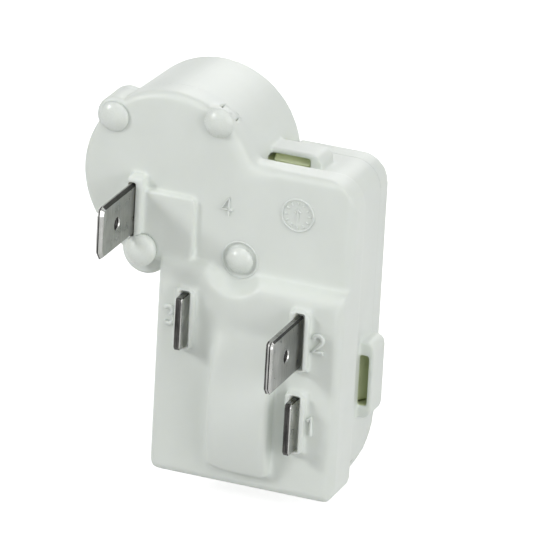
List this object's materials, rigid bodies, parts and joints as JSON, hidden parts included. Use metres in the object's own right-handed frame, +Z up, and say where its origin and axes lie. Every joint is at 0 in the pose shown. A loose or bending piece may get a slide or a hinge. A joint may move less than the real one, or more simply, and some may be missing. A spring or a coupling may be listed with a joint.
{
  "type": "compressor start relay",
  "caption": "Plug-on start relay with a built-in overload drum for a small sealed compressor: white moulded body, flat tabs in front and pin sockets behind.",
  "frame": {"origin": "middle of the triangle of the three pin sockets, on the back face that meets the compressor", "axes": "+Y out of the back, the way a compressor pin leaves; +Z up, from the block to the overload drum; tabs point to -Y"},
  "size_m": [0.0333, 0.0272, 0.0482],
  "materials": {
    "white_plastic": "satin moulded",
    "brown_plastic": "moulded",
    "tinned_brass": "tin plated, rolled",
    "brass": "plain",
    "spring_steel": "bright rolled",
    "contact_silver": "satin",
    "ceramic": "fired ceramic with silvered faces",
    "bimetal": "rolled",
    "heater_wire": "oxidised"
  },
  "bodies": {
    "root": {"front_cover": "white_plastic", "housing": "white_plastic", "rear_cover": "white_plastic", "start_terminal": "tinned_brass", "run_terminal": "tinned_brass", "start_clip": "spring_steel", "run_clip": "spring_steel", "ptc_disc": "ceramic", "start_spring": "spring_steel", "run_spring": "spring_steel", "start_rivet": "brass", "run_rivet": "brass", "overload_base": "brown_plastic", "overload_terminal": "tinned_brass", "contact_arm": "tinned_brass", "line_contact": "contact_silver", "heater_contact": "contact_silver", "snap_disc": "bimetal", "line_button": "contact_silver", "heater_button": "contact_silver", "calibration_screw": "spring_steel", "heater": "heater_wire", "common_link": "tinned_brass", "common_socket": "tinned_brass", "common_clip": "spring_steel"}
  },
  "joints": []
}
